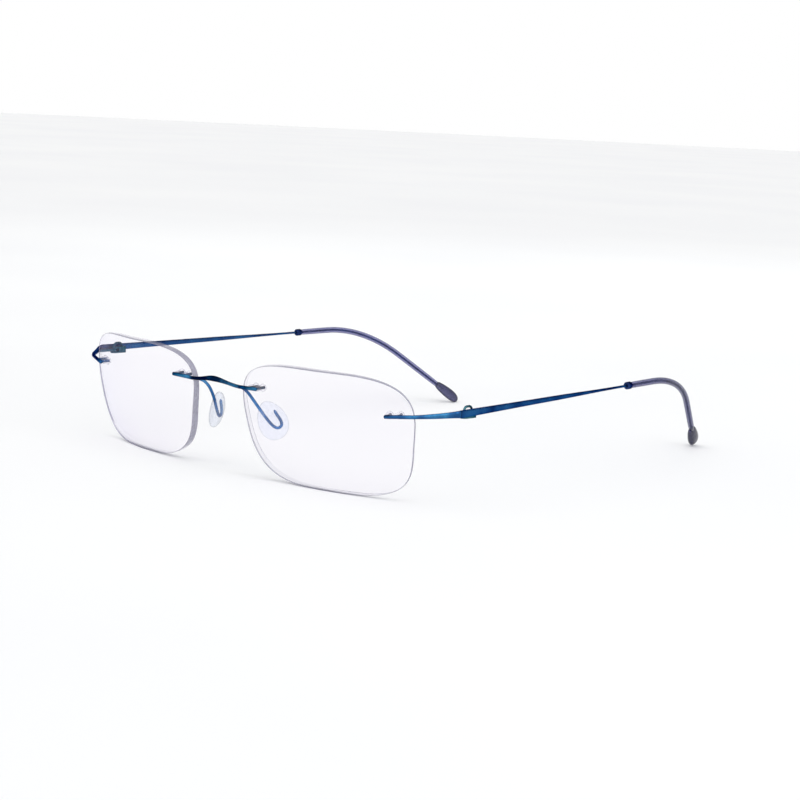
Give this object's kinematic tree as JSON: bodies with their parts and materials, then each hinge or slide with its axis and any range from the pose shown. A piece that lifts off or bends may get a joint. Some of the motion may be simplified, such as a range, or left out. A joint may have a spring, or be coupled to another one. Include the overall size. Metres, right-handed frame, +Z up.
{
  "type": "rimless eyeglasses",
  "caption": "Rimless reading glasses: drilled clear lenses on a wire bridge and endpieces, soft nose pads, and thin temples that fold on hairpin hinges.",
  "frame": {"origin": "On the surface the open glasses stand on, under the middle of their box: the lens bottoms and the temple tips touch it.", "axes": "+X to the wearer's left, +Y from the lenses back along the open temples, +Z up."},
  "size_m": [0.1378, 0.1526, 0.0311],
  "materials": {
    "lens": "polished clear plastic lens with a faint lilac reflection",
    "blue_metal": "glossy metallic blue",
    "pad_wire": "glossy metallic blue wire",
    "clear_bush": "clear polycarbonate",
    "clear_silicone": "clear soft silicone",
    "hinge_metal": "dark blue, near black",
    "temple_metal": "glossy metallic blue, indigo to teal by angle",
    "tip_collar": "gloss dark blue ring",
    "tip_silicone": "translucent grey violet silicone"
  },
  "bodies": {
    "front": {"lens_left": "lens", "lens_right": "lens", "bridge": "blue_metal", "bridge_mount_left": "blue_metal", "bridge_mount_right": "blue_metal", "endpiece_mount_left": "blue_metal", "endpiece_mount_right": "blue_metal", "bridge_bush_left": "clear_bush", "bridge_bush_right": "clear_bush", "endpiece_bush_left": "clear_bush", "endpiece_bush_right": "clear_bush", "pad_arm_left": "pad_wire", "pad_arm_right": "pad_wire", "nose_pad_left": "clear_silicone", "nose_pad_right": "clear_silicone", "endpiece_left": "blue_metal", "endpiece_right": "blue_metal", "hinge_knuckle_left": "hinge_metal", "hinge_knuckle_right": "hinge_metal"},
    "temple_left": {"hinge_block_left": "hinge_metal", "hinge_pin_left": "hinge_metal", "temple_left": "temple_metal", "tip_collar_left": "tip_collar", "tip_sleeve_left": "tip_silicone", "tip_paddle_left": "tip_silicone"},
    "temple_right": {"hinge_block_right": "hinge_metal", "hinge_pin_right": "hinge_metal", "temple_right": "temple_metal", "tip_collar_right": "tip_collar", "tip_sleeve_right": "tip_silicone", "tip_paddle_right": "tip_silicone"}
  },
  "joints": [
    {"name": "left_hinge", "type": "hinge", "parent": "front", "child": "temple_left", "pos_m": [0.06693, -0.05418, 0.02272], "axis": [0, 0, 1], "range_deg": [0, 84]},
    {"name": "right_hinge", "type": "hinge", "parent": "front", "child": "temple_right", "pos_m": [-0.06693, -0.05418, 0.02272], "axis": [0, 0, -1], "range_deg": [0, 78]}
  ]
}
